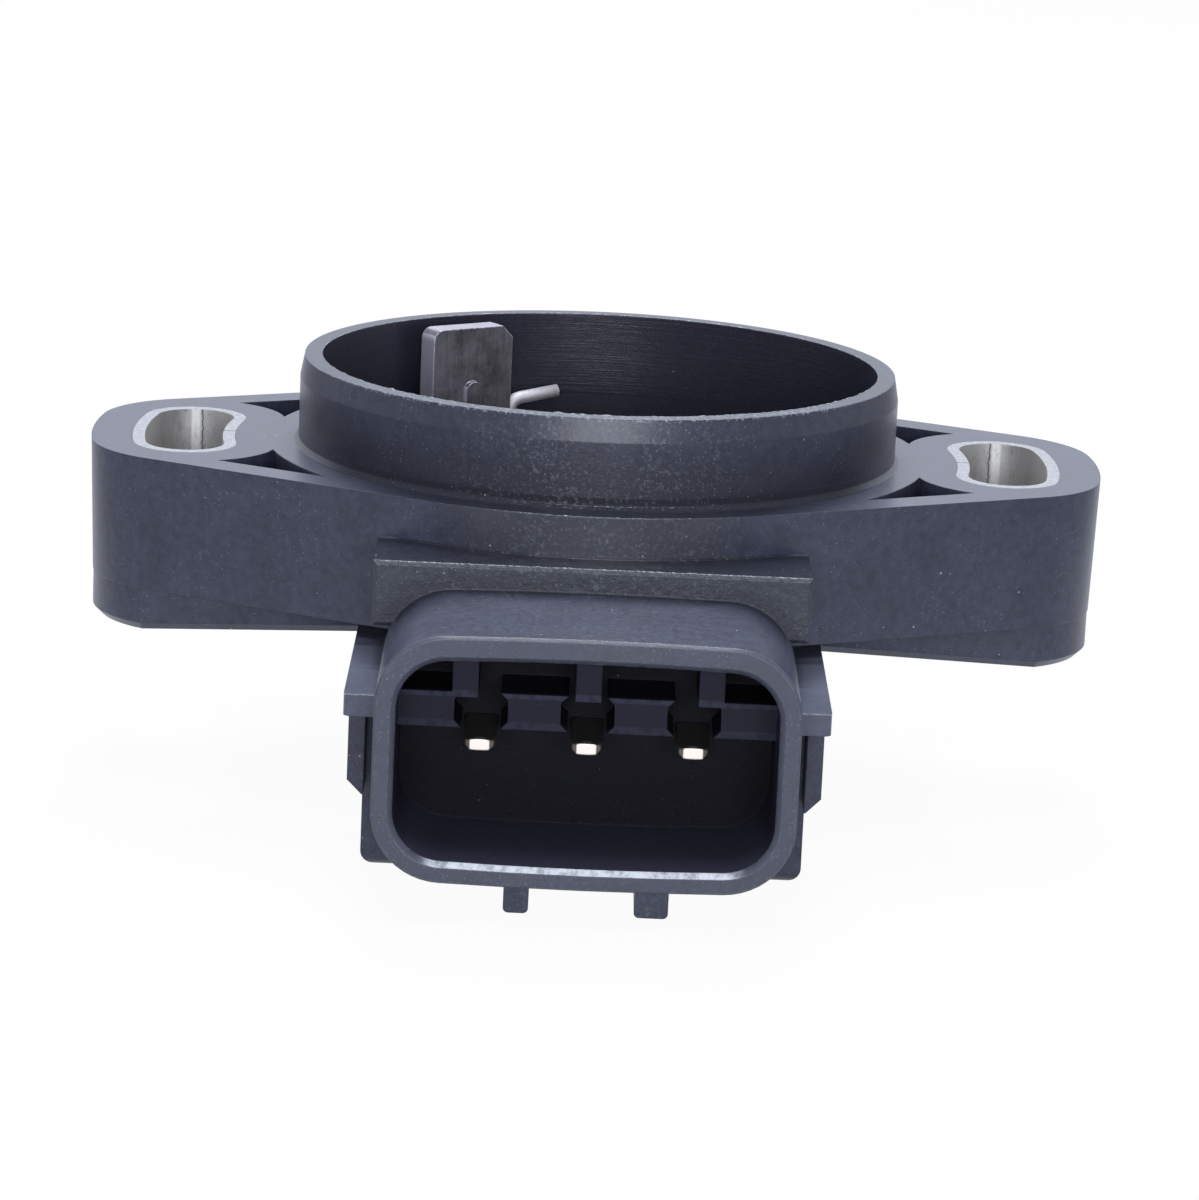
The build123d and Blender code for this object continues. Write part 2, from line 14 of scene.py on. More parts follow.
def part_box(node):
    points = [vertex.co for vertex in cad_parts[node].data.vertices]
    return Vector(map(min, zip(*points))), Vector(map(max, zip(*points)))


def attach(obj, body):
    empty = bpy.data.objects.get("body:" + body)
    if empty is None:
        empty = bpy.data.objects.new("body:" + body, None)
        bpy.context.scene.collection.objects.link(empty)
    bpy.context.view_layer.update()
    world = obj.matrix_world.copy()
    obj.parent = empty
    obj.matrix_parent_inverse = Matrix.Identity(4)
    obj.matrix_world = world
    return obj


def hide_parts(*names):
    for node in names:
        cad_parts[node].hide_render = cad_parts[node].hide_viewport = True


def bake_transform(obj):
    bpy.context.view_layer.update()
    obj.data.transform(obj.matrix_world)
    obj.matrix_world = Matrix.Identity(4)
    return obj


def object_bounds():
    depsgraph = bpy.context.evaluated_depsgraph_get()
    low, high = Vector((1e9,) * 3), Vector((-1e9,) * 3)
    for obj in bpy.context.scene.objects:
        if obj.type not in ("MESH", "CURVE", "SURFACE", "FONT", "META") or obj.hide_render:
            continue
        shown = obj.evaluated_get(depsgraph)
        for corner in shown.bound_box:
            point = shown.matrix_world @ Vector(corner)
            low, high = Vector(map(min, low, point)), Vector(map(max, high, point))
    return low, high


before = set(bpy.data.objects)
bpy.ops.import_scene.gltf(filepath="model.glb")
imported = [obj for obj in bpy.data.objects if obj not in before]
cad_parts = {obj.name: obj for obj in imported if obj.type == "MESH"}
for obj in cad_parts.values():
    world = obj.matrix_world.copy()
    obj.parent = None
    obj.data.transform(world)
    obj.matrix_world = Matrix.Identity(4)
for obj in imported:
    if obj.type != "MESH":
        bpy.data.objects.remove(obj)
cad_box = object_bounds()
mouth = cad_box[0][1]
rim = cad_box[1][2]

bl_info = {
    "name": "Throttle Position Sensor",
    "version": (1, 0, 0),
    "blender": (4, 5, 0),
    "location": "View3D > Sidebar > Sensor",
    "description": "Finishes, fine pieces and studio of a throttle position sensor",
    "category": "Object",
}

MM = 0.001
UP = (0.0, 0.0, 1.0)
FORWARD_UP = (0.0, -0.6, 0.8)
WHITE = (1.0, 1.0, 1.0)


def colour(name, description, default):
    """Colour property in linear red, green and blue."""
    return FloatVectorProperty(name=name, description=description, subtype="COLOR", size=3,
                               min=0.0, max=1.0, default=default)


def number(name, description, default, low=0.0, **kind):
    """Number property that is at least low."""
    return FloatProperty(name=name, description=description, default=default, min=low, **kind)


def length(name, description, default):
    """Length property in metres, with a default in millimetres."""
    return number(name, description, default * MM, subtype="DISTANCE", unit="LENGTH", precision=5)


def turn(name, description, default):
    """Angle property, with a default in degrees."""
    return FloatProperty(name=name, description=description, default=np.radians(default),
                         subtype="ANGLE", unit="ROTATION")


class SensorColours(bpy.types.PropertyGroup):
    """Colours of the sensor's finishes, and of the light and shade painted on them."""

    housing: colour("Housing", "Glass-filled plastic of the housing", (0.0505, 0.0540, 0.0870))
    # Painted shade: the housing's plastic darkened inside the collar and the socket.
    shaded_hollow: colour("Hollows", "Same plastic inside the collar and the socket", (0.0225, 0.0220, 0.0360))
    speck: colour("Specks", "Glass fibre ends at the plastic's surface", (0.60, 0.63, 0.70))
    # Pale edges: partly rubbed plastic, partly painted edge highlights.
    rubbed_edge_and_highlight: colour("Worn edge", "Plastic rubbed pale along its edges", (0.36, 0.38, 0.45))
    gate: colour("Gate", "Rough ledge where the moulding was cut from its sprue", (0.044, 0.048, 0.062))
    # Painted light: a paler colour that lifts the shade on the flange's front above the ledge.
    painted_front_light: colour("Powder", "Front of the flange above the ledge, greyed by dust", (0.052, 0.055, 0.070))
    # Painted highlight on the lower lip of the socket's mouth.
    lip: colour("Lip", "Bright lower lip of the socket's mouth", (0.70, 0.74, 0.80))
    # Darker colour of the collar's smooth wall, with painted shade deeper towards its foot, and painted shade
    # in the nooks.
    shade: colour("Shade", "Smooth plastic of the collar, and nooks", (0.0050, 0.0065, 0.0150))
    # Partly a pale dusty colour, partly painted light on upward faces, most on the wings, which lie in shade.
    dust_and_light: colour("Dust", "Pale dust on the upper faces", (0.170, 0.178, 0.240))
    cover: colour("Cover", "Plastic of the rear cover", (0.014, 0.014, 0.016))
    rotor: colour("Rotor", "Plastic of the drum and the wiper carrier", (0.012, 0.012, 0.014))
    bush: colour("Bushes", "Steel of the slot bushes", (0.55, 0.54, 0.53))
    bush_end: colour("Bush ends", "Cut ends of the slot bushes", (0.27, 0.27, 0.285))
    bush_stain: colour("Bush stain", "Dull marks in the bushes", (0.26, 0.235, 0.21))
    bush_line: colour("Bush line", "Bright line where the bushes were formed", (0.95, 0.93, 0.90))
    bush_crack: colour("Bush crack", "Dark crack beside the bright line", (0.06, 0.055, 0.05))
    lever: colour("Lever", "Dull steel of the drive lever", (0.150, 0.142, 0.158))
    # Bright shear-cut sides of the lever, and painted sheen on its upward faces and edges.
    lever_edge_and_sheen: colour("Lever edge", "Sheared edges of the drive lever", (0.70, 0.68, 0.80))
    spring: colour("Spring", "Wire of the return spring", (0.86, 0.82, 0.86))
    terminal: colour("Terminals", "Tin plate of the flat pins", (1.00, 0.88, 0.79))
    shaft: colour("Shaft", "Ground steel of the shaft, clip and washer", (0.52, 0.52, 0.54))
    bronze: colour("Bearing", "Sintered bronze of the bearing", (0.43, 0.27, 0.12))
    brass: colour("Contacts", "Brass of the wiper and the leaf contacts", (0.66, 0.48, 0.20))
    board: colour("Board", "Laminate of the track board", (0.030, 0.085, 0.040))
    track: colour("Tracks", "Carbon ink of the tracks", (0.012, 0.012, 0.012))
    rubber: colour("Seal", "Rubber of the cover's seal", (0.010, 0.010, 0.010))
    floor: colour("Floor", "Floor, as the light on it comes back to the sensor", (0.40, 0.40, 0.40))


class SensorSizes(bpy.types.PropertyGroup):
    """Sizes of the fine detail and of the forms that the finishes follow."""

    edge_round: length("Edge round", "Radius that softens the moulded edges", 0.12)
    speck_pitch: length("Speck pitch", "Mean distance between large fibre ends", 0.65)
    speck_radius: length("Speck radius", "Radius of the largest fibre ends", 0.08)
    grain: length("Grain", "Size of the plastic's fine grain", 0.13)
    tool_lines: length("Tool lines", "Pitch of the turned lines on the collar", 0.11)
    collar_radius: length("Collar radius", "Outside of the pilot collar", 18.2)
    collar_bore: length("Collar bore", "Inside of the pilot collar", 16.9)
    cavity_depth: length("Cavity depth", "Depth of the dark walls inside the collar", 6.0)
    flange_radius: length("Flange radius", "Round middle of the flange", 20.45)
    ledge_reach: length("Ledge reach", "Front of the ledge under the flange", 23.0)
    ledge_width: length("Ledge width", "Width of the ledge under the flange", 24.95)
    ledge_drop: length("Ledge drop", "Top of the ledge below the mounting face", 2.5)
    ledge_height: length("Ledge height", "Height of the ledge's front", 3.8)
    shroud_width: length("Shroud width", "Width of the socket's shroud", 23.5)
    shroud_drop: length("Shroud drop", "Middle of the shroud below the mounting face", 10.9)
    shroud_flat: length("Shroud flat", "Width of the shroud's top between its corners", 16.0)
    shroud_flank: length("Shroud flank", "Height of the shroud's sides between its corners", 6.2)
    shroud_corner: length("Shroud corner", "Radius of the shroud's corners", 3.9)
    wing_reach: length("Wing reach", "Front of the wings beside the socket", 29.2)
    wing_width: length("Wing width", "Width across the wings", 27.3)
    wing_drop: length("Wing drop", "Top of the wings below the mounting face", 8.8)
    socket_drop: length("Socket drop", "Middle of the socket below the mounting face", 11.1)
    socket_width: length("Socket width", "Width inside the socket", 21.1)
    socket_height: length("Socket height", "Height inside the socket", 11.65)
    socket_depth: length("Socket depth", "Depth of the socket behind its mouth", 9.4)
    socket_corner: length("Socket corner", "Width plus height that the socket's corners take off", 1.275)
    rail_reach: length("Rail reach", "Front of the rails in the socket", 29.5)
    rail_drop: length("Rail drop", "Top of the rails below the mounting face", 8.3)
    rail_height: length("Rail height", "Height of the rails", 2.05)
    pin_pitch: length("Pin pitch", "Distance between the middles of the pins", 5.95)
    pin_width: length("Pin width", "Width of a pin", 1.8)
    pin_thickness: length("Pin thickness", "Thickness of a pin", 0.64)
    flash: length("Flash", "Largest height of the moulding flash", 0.15)
    dart_width: length("Dart width", "Dull width round the dart in the tab's foot", 2.4)
    dart_top: length("Dart top", "Top of that width above the mounting face", 1.7)
    wire_radius: length("Wire radius", "Radius of the spring's wire", 0.41)
    wire_bend: length("Wire bend", "Radius of the bends at the ends of the coil", 0.7)
    tail_bend: length("Tail bend", "Radius of the bend at the top of the riser", 0.8)
    tail_length: length("Tail length", "Length of the free tail from the riser, seen from above", 3.3)
    tail_rise: turn("Tail rise", "Slope of the free tail", 8.0)
    coil_pitch: length("Coil pitch", "Rise of the coil in one turn", 0.88)
    coil_turns: number("Coil turns", "Turns of the spring's coil", 2.0, low=0.5)
    lever_angle: turn("Lever angle", "Angle at which the lever's tab stands at rest", 124.5)
    coil_end: turn("Coil end", "Angle at which the coil turns up beside the lever's tab", 114.16)


class SensorStage(bpy.types.PropertyGroup):
    """Camera, floor and light."""

    focal_length: number("Focal length", "Lens of the camera on a 36 mm sensor", 147.36, low=1.0,
                         subtype="DISTANCE_CAMERA", unit="CAMERA")
    elevation: turn("Elevation", "Height of the view above the horizon", 13.17)
    yaw: turn("Yaw", "Turn of the sensor under the camera", 0.45)
    roll: turn("Roll", "Turn of the camera about its own view", 2.587)
    aim: FloatVectorProperty(name="Aim",
                             description="Place of the sensor's origin, right, down and along the view",
                             default=(-0.17753 * MM, -9.37635 * MM, 300.0 * MM),
                             subtype="XYZ", unit="LENGTH")
    sky: number("Sky", "Strength of the even light all round", 0.42)
    cool: colour("Light", "Cool tint of the light all round", (0.88, 0.92, 1.0))
    dim: colour("Dim sides", "Floor at the sides, as the sensor mirrors it", (0.25, 0.27, 0.34))
    glow: number("Floor glow", "Strength of the floor to the camera and in mirrors", 1.06)
    lamp_distance: length("Lamp distance", "Distance of the lamps from the sensor's origin", 500.0)
    key: number("Key lamp", "Power of the lamp above and behind the sensor", 2.0, unit="POWER")
    fill: number("Fill lamp", "Power of the lamp above and in front of the sensor", 0.8, unit="POWER")
    spark: number("Front lamp", "Power of the wide lamp beside the camera", 1.0, unit="POWER")


class SensorSettings(bpy.types.PropertyGroup):
    """All that a user would change on the sensor."""

    colours: PointerProperty(type=SensorColours)
    sizes: PointerProperty(type=SensorSizes)
    stage: PointerProperty(type=SensorStage)


class Value:
    """Output of a node that varies over a surface. Operators on it add Math nodes."""

    def __init__(self, graph, socket):
        self.graph = graph
        self.socket = socket

    def math(self, operation, *terms):
        """Result of a Math node on the terms given."""
        return self.graph.node("Math", {"operation": operation}, dict(enumerate(terms)))

    def __add__(self, other):
        return self.math("ADD", self, other)

    __radd__ = __add__

    def __sub__(self, other):
        return self.math("SUBTRACT", self, other)

    def __rsub__(self, other):
        return self.math("SUBTRACT", other, self)

    def __mul__(self, other):
        return self.math("MULTIPLY", self, other)

    __rmul__ = __mul__

    def __truediv__(self, other):
        return self.math("DIVIDE", self, other)

    def __pow__(self, other):
        return self.math("POWER", self, other)

    def __abs__(self):
        return self.math("ABSOLUTE", self)

    def most(self, other):
        """The larger of two values."""
        return self.math("MAXIMUM", self, other)

    def least(self, other):
        """The smaller of two values."""
        return self.math("MINIMUM", self, other)

    def step(self, low, high):
        """Smooth step: 0 at low, 1 at high, which may be the smaller of the two."""
        return self.graph.node("MapRange", {"interpolation_type": "SMOOTHSTEP"},
                               {"Value": self, "From Min": low, "From Max": high})

    def ramp(self, low, high, level=0.0):
        """Smooth step about a level: 0 at low and 1 at high, both in millimetres from the level."""
        return self.step(level + low * MM, level + high * MM)

    def band(self, low, high, level=0.0, soft=0.1):
        """1 between low and high, falling to 0 over a soft distance outside, in millimetres from a level."""
        return self.ramp(low - soft, low, level) * self.ramp(high + soft, high, level)


class Place(namedtuple("Place", "spot x y z")):
    """Object coordinates, in metres, and their three parts."""

    @property
    def radius(self):
        """Distance from the rotor's axis."""
        return (self.x * self.x + self.y * self.y) ** 0.5


class Graph:
    """Node tree of a material or a world."""

    def __init__(self, owner):
        owner.use_nodes = True
        self.tree = owner.node_tree
        self.tree.nodes.clear()

    def node(self, kind, settings=None, inputs=None, output=0):
        """Adds a shader node, sets its settings, gives its sockets values or links, returns an output."""
        made = self.tree.nodes.new("ShaderNode" + kind)
        for key, setting in (settings or {}).items():
            setattr(made, key, setting)
        for key, given in (inputs or {}).items():
            if isinstance(given, Value):
                self.tree.links.new(given.socket, made.inputs[key])
            else:
                made.inputs[key].default_value = given
        return Value(self, made.outputs[output]) if made.outputs else None

    def facing(self, direction):
        """How far a surface faces along a direction in object space, from -1 to 1."""
        return self.dot(self.node("TexCoord", output="Normal"), direction)

    def dot(self, first, second):
        """Dot product of two directions."""
        return self.node("VectorMath", {"operation": "DOT_PRODUCT"}, {0: first, 1: second},
                         output="Value")

    def place(self):
        """The place of each point of a surface."""
        spot = self.node("TexCoord", output="Object")
        parts = (self.node("SeparateXYZ", inputs={0: spot}, output=part) for part in "XYZ")
        return Place(spot, *parts)

    def stretched(self, spot, x=1.0, y=1.0, z=1.0):
        """Coordinates multiplied along each axis, so that a pattern is drawn out the other way."""
        return self.node("Mapping", {"vector_type": "POINT"}, {"Vector": spot, "Scale": (x, y, z)})

    def noise(self, spot, size, detail=2.0, rough=0.5):
        """Noise about 0.5 with features of a given size."""
        return self.node("TexNoise", {"noise_dimensions": "3D"},
                         {"Vector": spot, "Scale": 1.0 / size, "Detail": detail, "Roughness": rough})

    def dots(self, spot, pitch, radius):
        """Soft balls of up to a radius at scattered points a pitch apart, of uneven size and strength."""
        inputs = {"Vector": spot, "Scale": 1.0 / pitch}
        away = self.node("TexVoronoi", {"feature": "F1"}, inputs) * pitch
        chance = self.node("TexVoronoi", {"feature": "F1"}, inputs, output="Color") * 1.0
        size = (0.35 + 0.9 * chance) * radius
        return away.step(size, 0.3 * size) * chance.step(0.2, 0.7)

    def blend(self, factor, first, second):
        """Colour between two colours."""
        return self.node("Mix", {"data_type": "RGBA"},
                         {0: factor, 6: rgba(first), 7: rgba(second)}, output=2)

    def bump(self, height, depth, normal=None):
        """Normal of a surface raised by a height from 0 to 1 times a depth."""
        inputs = {"Height": height, "Distance": depth, "Strength": 1.0}
        if normal is not None:
            inputs["Normal"] = normal
        return self.node("Bump", inputs=inputs)

    def rounded(self, radius):
        """Normal that runs smoothly over edges, and how far it leans there from the face's own normal."""
        soft = self.node("Bevel", {"samples": 6}, {"Radius": radius})
        face = self.node("NewGeometry", output="True Normal")
        return soft, 1.0 - self.dot(soft, face)

    def rays(self):
        """1 for rays from the camera, and 1 for rays that a surface mirrors or lets through."""
        kinds = ("Is Camera Ray", "Is Glossy Ray", "Is Transmission Ray")
        camera, glossy, through = (self.node("LightPath", output=kind) for kind in kinds)
        return camera, glossy.most(through)

    def principled(self, **sockets):
        """Principled shader. Names are those of its sockets, with _ for a space."""
        inputs = {key.replace("_", " "): given for key, given in sockets.items()}
        return self.node("BsdfPrincipled", {"distribution": "MULTI_GGX"}, inputs)

    def mixed(self, factor, first, second):
        """Shader between two shaders."""
        return self.node("MixShader", inputs={0: factor, 1: first, 2: second})

    def show(self, shader):
        """Joins a shader to the material's output."""
        self.node("OutputMaterial", inputs={"Surface": shader})

    def surface(self, **sockets):
        """One principled shader on the material's output."""
        self.show(self.principled(**sockets))


def rgba(given):
    """A colour with its alpha, or a Value as it is."""
    return given if isinstance(given, Value) else (*given, 1.0)


def scaled(tint, share):
    """A colour times a number."""
    return [share * part for part in tint]


def settings():
    """The sensor's settings in this scene."""
    return bpy.context.scene.throttle_sensor


def finish(name, build):
    """New material of a name, filled by a function that takes its graph, the colours and the sizes."""
    material = bpy.data.materials.new(name)
    build(Graph(material), settings().colours, settings().sizes)
    return material


def dress(name, build, *nodes):
    """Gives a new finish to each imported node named."""
    material = finish(name, build)
    for node in nodes:
        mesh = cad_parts[node].data
        mesh.materials.clear()
        mesh.materials.append(material)


def hollow_walls(sizes, at):
    """Two values: 1 on the walls inside the collar, and 1 on those inside the socket."""
    collar = at.radius.ramp(0.2, 0.05, sizes.collar_bore)
    collar = collar * at.z.ramp(-0.05, 0.0, -sizes.cavity_depth) * at.z.ramp(0.0, -0.05, rim)
    wide, high = sizes.socket_width / 2, sizes.socket_height / 2
    beside, above = abs(at.x), abs(at.z + sizes.socket_drop)
    socket = beside.ramp(0.2, 0.05, wide) * above.ramp(0.2, 0.05, high)
    socket = socket * (beside + above).ramp(0.4, 0.0, wide + high - sizes.socket_corner)
    socket = socket * at.y.ramp(0.3, 0.35, mouth) * at.y.ramp(0.05, 0.0, mouth + sizes.socket_depth)
    return collar, socket


def socket_shade(graph, sizes, at):
    """Two values for the socket: how much painted shade darkens its back and the space above the pins, and 1
    on its floor, which is painted lighter.
    """
    wall = at.y.ramp(-0.3, -0.1, mouth + sizes.socket_depth)
    above = at.y.ramp(0.3, 0.7, -sizes.rail_reach) * at.z.ramp(-0.3, 0.3, -sizes.socket_drop)
    ground = -sizes.socket_drop - sizes.socket_height / 2
    floor = graph.facing(UP).step(0.3, 0.9) * at.z.ramp(3.425, 0.925, ground)
    return (wall * 0.8).most(above * 0.9), floor


def dust_and_light_places(graph, sizes, at):
    """How pale upward faces are made, by a dusty colour and painted light: some on upper faces, little on the
    shroud, and most on the wings, which lie in shade.
    """
    beside = abs(at.x)
    upper = graph.facing(UP).step(0.75, 0.95)
    shroud = beside.ramp(0.125, -0.275, sizes.ledge_width / 2) * at.y.ramp(0.45, -0.15, -sizes.flange_radius)
    wings = beside.ramp(-0.05, 0.15, sizes.shroud_width / 2) * at.z.band(-1.4, 0.2, -sizes.wing_drop)
    wings = wings * at.y.ramp(-17, -18)
    backwards = at.y.step(1.2 * MM - sizes.wing_reach, -sizes.ledge_reach)
    return (upper * (1.0 - 0.75 * shroud) * 0.3).most(wings * (0.5 + 0.5 * backwards))


def rubbed_and_highlit_places(sizes, at):
    """How pale edges are made, as rubbed plastic and painted edge highlights: on the rim, the middle of the
    flange's front, the ledge, wings and mouth.
    """
    collar = at.z.ramp(-0.45, -0.15, rim)
    flange = at.z.ramp(-0.3, -0.1) * at.y.ramp(-19, -20) * abs(at.x).ramp(6, 3)
    ledge = at.z.band(-0.2, 0.1, -sizes.ledge_drop) * at.y.ramp(0.5, 0.3, -sizes.ledge_reach)
    wings = at.z.band(-0.3, 0.1, -sizes.wing_drop) * at.y.ramp(0.6, 0.4, -sizes.wing_reach)
    front = at.y.ramp(0.4, 0.3, mouth) * 0.8
    return collar.most(flange).most(ledge).most(wings).most(front) + 0.06


def shroud_shade(sizes, at):
    """Two values: shade on the shroud's back, longest at its corners, and on the ledge round the shroud."""
    ahead = -sizes.ledge_reach - at.y
    top = sizes.shroud_flank / 2 + sizes.shroud_corner - sizes.shroud_drop
    corners = ahead.ramp(6.0, 0.6) * abs(at.x).ramp(5, 9)
    roof = ahead.ramp(3.0, 0.4).most(corners) * ahead.ramp(0.05, 0.2) * at.z.band(-1.7, 0.3, top, soft=0.4)
    beside = (abs(at.x) - sizes.shroud_flat / 2).most(0.0)
    above = (abs(at.z + sizes.shroud_drop) - sizes.shroud_flank / 2).most(0.0)
    outline = (beside * beside + above * above) ** 0.5
    return roof, outline.ramp(1.3, 0.0, sizes.shroud_corner) * ahead.band(-0.2, 0.2)


def nooks(graph, sizes, at):
    """Three values: how deep a place lies in shaded nooks, at the collar's foot and on the shroud's back."""
    before = graph.facing(UP).step(0.6, 0.9) * at.z.band(-0.2, 0.5, soft=0.05)
    before = before * at.y.ramp(-6, -11) * abs(at.x).ramp(18, 9)
    foot = at.radius.ramp(0.6, 0.5, sizes.collar_radius) * at.z.band(-0.1, 0.6) * at.y.ramp(-7, -12)
    shelf = at.y.ramp(0.0, 0.2, -sizes.ledge_reach) * at.y.ramp(-17.0, -17.2)
    shelf = shelf * at.z.band(-0.25, 0.05, -sizes.ledge_drop)
    roof, wall = shroud_shade(sizes, at)
    nook = (before * 0.8).most(foot * 0.9).most(shelf * 0.9).most(roof * 0.8).most(wall * 0.4)
    return nook, foot, roof


def fibre_ends(graph, sizes, spot):
    """Pale ends of glass fibres: sparse large ones, and many faint small ones in drifts."""
    large = graph.dots(spot, sizes.speck_pitch, sizes.speck_radius)
    large = large * graph.noise(spot, 1.7 * MM).step(0.52, 0.70)
    small = graph.dots(spot, 0.35 * sizes.speck_pitch, 0.7 * sizes.speck_radius)
    small = small * graph.noise(spot, 3.1 * MM, 3.0).step(0.35, 0.65)
    return large.most(small * 0.25)


def outer_tone(graph, colours, sizes, at, mottle):
    """Colour of the housing's outside: mottled plastic, painted light on the flange's front above the ledge,
    and a dusty colour with painted light on upward faces.
    """
    cloud = graph.noise(at.spot, 3.0 * MM, 4.0, 0.6)
    tone = graph.blend((0.4 * cloud + 0.6 * mottle).step(0.3, 0.7),
                       scaled(colours.housing, 0.7), scaled(colours.housing, 1.3))
    # Painted light on the front of the flange above the ledge, against the ledge's shade.
    painted_front_light = at.z.ramp(-0.2, -0.1, -sizes.ledge_drop) * at.z.ramp(0.05, -0.05)
    painted_front_light = painted_front_light * at.y.ramp(-17.5, -19) * abs(at.x).ramp(11, 6)
    tone = graph.blend(painted_front_light * 0.8, tone, colours.painted_front_light)
    # Dusty colour and painted light on upward faces.
    return graph.blend(dust_and_light_places(graph, sizes, at) * (0.65 + 0.7 * mottle), tone, colours.dust_and_light)


def specks_and_glints(graph, colours, at, tone, grain, shaded_hollow):
    """A colour with pale specks over the front, denser in its middle as painted sparkle of the highlight
    there, and painted glints on the front of the rim.
    """
    crumbs = graph.noise(at.spot, 0.26 * MM, 4.0, 0.7).step(0.50, 0.66)
    drifts = graph.noise(at.spot, 2.2 * MM, 3.0).step(0.3, 0.7)
    # Pale specks over the front, denser in its middle as painted sparkle of the highlight there.
    specks_and_sparkle = (grain.step(0.55, 0.72) * 0.5 + crumbs * (0.3 + drifts)) * at.y.ramp(-12, -17)
    specks_and_sparkle = specks_and_sparkle * (0.06 + 0.3 * abs(at.x).ramp(10, 2)) * (1.0 - shaded_hollow)
    tone = graph.blend(specks_and_sparkle, tone, scaled(colours.speck, 0.35))
    # Painted glints on the front of the rim.
    rim_glints = crumbs * at.z.ramp(-0.2, -0.05, rim) * at.y.ramp(-8, -14)
    return graph.blend(rim_glints * 0.5, tone, colours.speck)


def hollow_tone(graph, colours, sizes, at, tone, shaded_hollow, socket):
    """A colour with painted light on the mouth's front and the socket's floor, painted shade in the hollows
    and the socket, and painted highlights on the front edges of its rails.
    """
    # Painted light: the front face of the socket's mouth is made paler.
    tone = graph.blend(at.y.ramp(0.25, 0.1, mouth) * 0.7, tone, scaled(colours.dust_and_light, 0.55))
    # Painted shade: the hollows take the darker colour.
    tone = graph.blend(shaded_hollow, tone, colours.shaded_hollow)
    dark, floor = socket_shade(graph, sizes, at)
    tone = graph.blend(socket * dark, tone, scaled(colours.shaded_hollow, 0.15))
    # Painted light: the socket's floor is made paler than its shaded walls.
    tone = graph.blend(socket * floor, tone, scaled(colours.shaded_hollow, 2.2))
    # Painted highlights: the front edges of the rails keep the housing's colour, paler than the shaded
    # socket.
    rail = socket * at.y.band(-0.1, 0.1, -sizes.rail_reach)
    rail = rail * graph.noise(at.spot, 0.6 * MM, 3.0).step(0.25, 0.6)
    upper = at.z.band(-0.25, 0.1, -sizes.rail_drop, soft=0.05)
    lower = at.z.band(-0.1, 0.4, -sizes.rail_drop - sizes.rail_height)
    return graph.blend(rail * upper.most(lower * 0.6) * 0.8, tone, colours.housing)


def mouth_lip_highlight(graph, at):
    """How strong the painted highlight on the lower lip of the socket's mouth is, in uneven patches."""
    lip = graph.facing((0.0, -0.707, 0.707)).step(0.85, 0.97) * at.y.ramp(0.4, 0.3, mouth)
    lip = lip * at.z.ramp(-15.0, -16.2) * abs(at.x).ramp(9.2, 8.0)
    return lip * (0.25 + 0.75 * graph.noise(at.spot, 0.9 * MM, 4.0, 0.7).step(0.3, 0.6))


def moulded_plastic(graph, colours, sizes):
    """Glass-filled plastic: mottle, fibre ends, turned lines on the collar, a rough ledge and rubbed edges,
    with painted shade in the hollows and nooks and painted highlights on edges.
    """
    at = graph.place()
    soft, lean = graph.rounded(sizes.edge_round)
    collar, socket = hollow_walls(sizes, at)
    shaded_hollow = collar.most(socket)
    nook, foot, roof = nooks(graph, sizes, at)
    mottle = graph.noise(at.spot, 0.55 * MM, 4.0, 0.65)
    grain = graph.noise(at.spot, sizes.grain, 4.0, 0.6)
    lines = graph.noise(graph.stretched(at.spot, 0.02, 0.02, 1.0), sizes.tool_lines, 2.0)
    turned = at.radius.ramp(0.4, 0.2, sizes.collar_radius) * at.z.ramp(0.0, 0.2)
    ledge = at.y.band(-0.1, 0.3, -sizes.ledge_reach) * at.z.ramp(0.1, 0.0, -sizes.ledge_drop)
    ledge = ledge * at.z.ramp(-0.1, 0.0, -sizes.ledge_drop - sizes.ledge_height)
    # Pale edges: partly rubbed plastic, partly painted edge highlights.
    rubbed_and_highlit = lean.step(0.015, 0.16) * graph.noise(at.spot, 0.32 * MM, 3.0).step(0.36, 0.62)
    rubbed_and_highlit = rubbed_and_highlit * rubbed_and_highlit_places(sizes, at) * (1.0 - 0.8 * shaded_hollow)
    tone = outer_tone(graph, colours, sizes, at, mottle)
    # Collar wall darker as smooth plastic, with painted shade deeper towards its foot.
    tone = graph.blend(turned * (0.72 - 0.4 * at.z.ramp(1.5, 4.4)), tone, colours.shade)
    tone = graph.blend(ledge * 0.8, tone, colours.gate)
    tone = graph.blend(nook, tone, colours.shade)
    tone = specks_and_glints(graph, colours, at, tone, grain, shaded_hollow)
    tone = hollow_tone(graph, colours, sizes, at, tone, shaded_hollow, socket)
    tone = graph.blend(rubbed_and_highlit * 0.85, tone, colours.rubbed_edge_and_highlight)
    # Painted highlight on the mouth's lower lip.
    tone = graph.blend(mouth_lip_highlight(graph, at), tone, colours.lip)
    tone = graph.blend(fibre_ends(graph, sizes, at.spot) * (1.0 - 0.7 * shaded_hollow), tone, colours.speck)
    rough = 0.20 + 0.13 * mottle + 0.10 * grain + 0.14 * ledge + 0.1 * socket + 0.4 * foot
    relief = graph.bump(grain, 0.010 * MM, soft)
    relief = graph.bump(mottle * (1.0 + 2.5 * ledge), 0.014 * MM, relief)
    relief = graph.bump(lines * turned * (0.3 + 0.9 * collar), 0.012 * MM, relief)
    both = {"Base_Color": tone, "Roughness": rough, "Normal": relief}
    outside = graph.principled(**both, Specular_IOR_Level=0.42)
    inside = graph.principled(**both, Specular_IOR_Level=0.1)
    graph.show(graph.mixed(socket.most(0.7 * roof), outside, inside))


